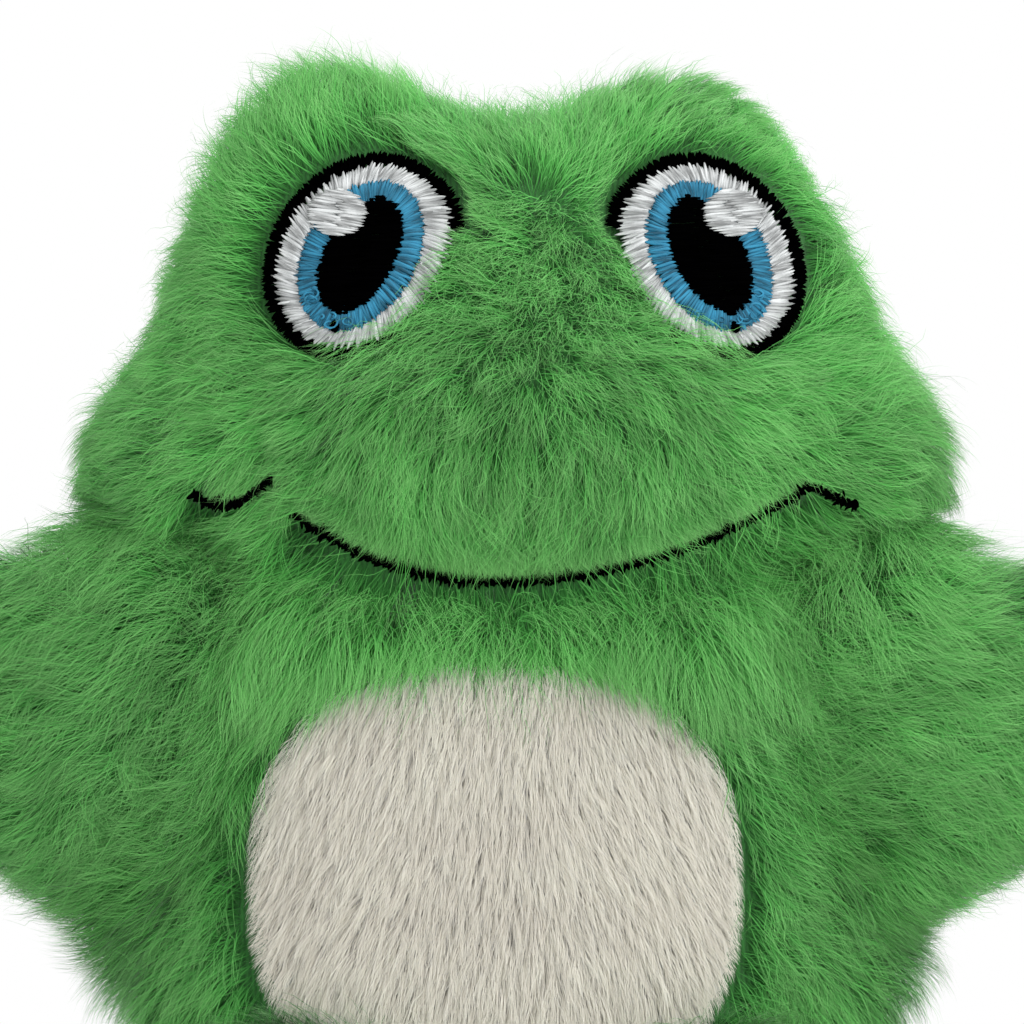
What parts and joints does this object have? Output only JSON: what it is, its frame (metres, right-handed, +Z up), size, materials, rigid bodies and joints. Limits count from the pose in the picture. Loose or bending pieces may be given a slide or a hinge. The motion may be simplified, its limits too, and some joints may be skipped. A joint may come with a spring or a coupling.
{
  "type": "plush frog",
  "caption": "Small sitting plush frog of long green pile with a cream belly patch, embroidered blue eyes and an embroidered smile; soft head, arms and legs.",
  "frame": {"origin": "middle of the flat underside of the seat, where the toy sits", "axes": "+Z up through the head; the frog looks along -Y; +X is the right side in a front view"},
  "size_m": [0.1374, 0.0739, 0.1316],
  "materials": {
    "green_plush": "long soft pile",
    "cream_plush": "short soft pile, combed down",
    "filling": "loose fibre",
    "pellets": "pellets in a woven bag",
    "backing": "felted sheet",
    "thread_black": "satin stitch",
    "thread_white": "satin stitch",
    "thread_blue": "satin stitch",
    "thread_green": "sewing thread"
  },
  "bodies": {
    "body": {"body_front_panel": "green_plush", "belly_patch": "cream_plush", "body_back_panel_left": "green_plush", "body_back_panel_right": "green_plush", "closing_thread": "thread_green", "body_stuffing": "filling", "pellet_bag": "pellets"},
    "head": {"head_face_panel": "green_plush", "head_back_panel": "green_plush", "head_stuffing": "filling", "mouth_line": "thread_black", "mouth_tick_left": "thread_black", "mouth_tick_right": "thread_black", "mouth_backing": "backing", "eye_left_outline": "thread_black", "eye_left_white": "thread_white", "eye_left_iris": "thread_blue", "eye_left_pupil": "thread_black", "eye_left_highlight": "thread_white", "eye_left_speck": "thread_black", "eye_left_backing": "backing", "eye_right_outline": "thread_black", "eye_right_white": "thread_white", "eye_right_iris": "thread_blue", "eye_right_pupil": "thread_black", "eye_right_highlight": "thread_white", "eye_right_speck": "thread_black", "eye_right_backing": "backing"},
    "arm_left": {"arm_left_front_panel": "green_plush", "arm_left_back_panel": "green_plush", "arm_left_stuffing": "filling"},
    "arm_right": {"arm_right_front_panel": "green_plush", "arm_right_back_panel": "green_plush", "arm_right_stuffing": "filling"},
    "leg_left": {"leg_left_upper_panel": "green_plush", "leg_left_lower_panel": "green_plush", "leg_left_stuffing": "filling"},
    "leg_right": {"leg_right_upper_panel": "green_plush", "leg_right_lower_panel": "green_plush", "leg_right_stuffing": "filling"}
  },
  "joints": [
    {"name": "head_nod", "type": "hinge", "parent": "body", "child": "head", "pos_m": [0, 0, 0.098], "axis": [1, 0, 0], "range_deg": [-8, 8], "stiffness_Nm_per_rad": 0.3},
    {"name": "arm_left_swing", "type": "hinge", "parent": "body", "child": "arm_left", "pos_m": [-0.042, 0, 0.0585], "axis": [0, 0, 1], "range_deg": [-20, 20], "stiffness_Nm_per_rad": 0.1},
    {"name": "arm_right_swing", "type": "hinge", "parent": "body", "child": "arm_right", "pos_m": [0.042, 0, 0.0585], "axis": [0, 0, -1], "range_deg": [-20, 20], "stiffness_Nm_per_rad": 0.1},
    {"name": "leg_left_lift", "type": "hinge", "parent": "body", "child": "leg_left", "pos_m": [-0.024, -0.021, 0.012], "axis": [-1, 0, 0], "range_deg": [0, 20], "stiffness_Nm_per_rad": 0.1},
    {"name": "leg_right_lift", "type": "hinge", "parent": "body", "child": "leg_right", "pos_m": [0.024, -0.021, 0.012], "axis": [-1, 0, 0], "range_deg": [0, 20], "stiffness_Nm_per_rad": 0.1}
  ]
}
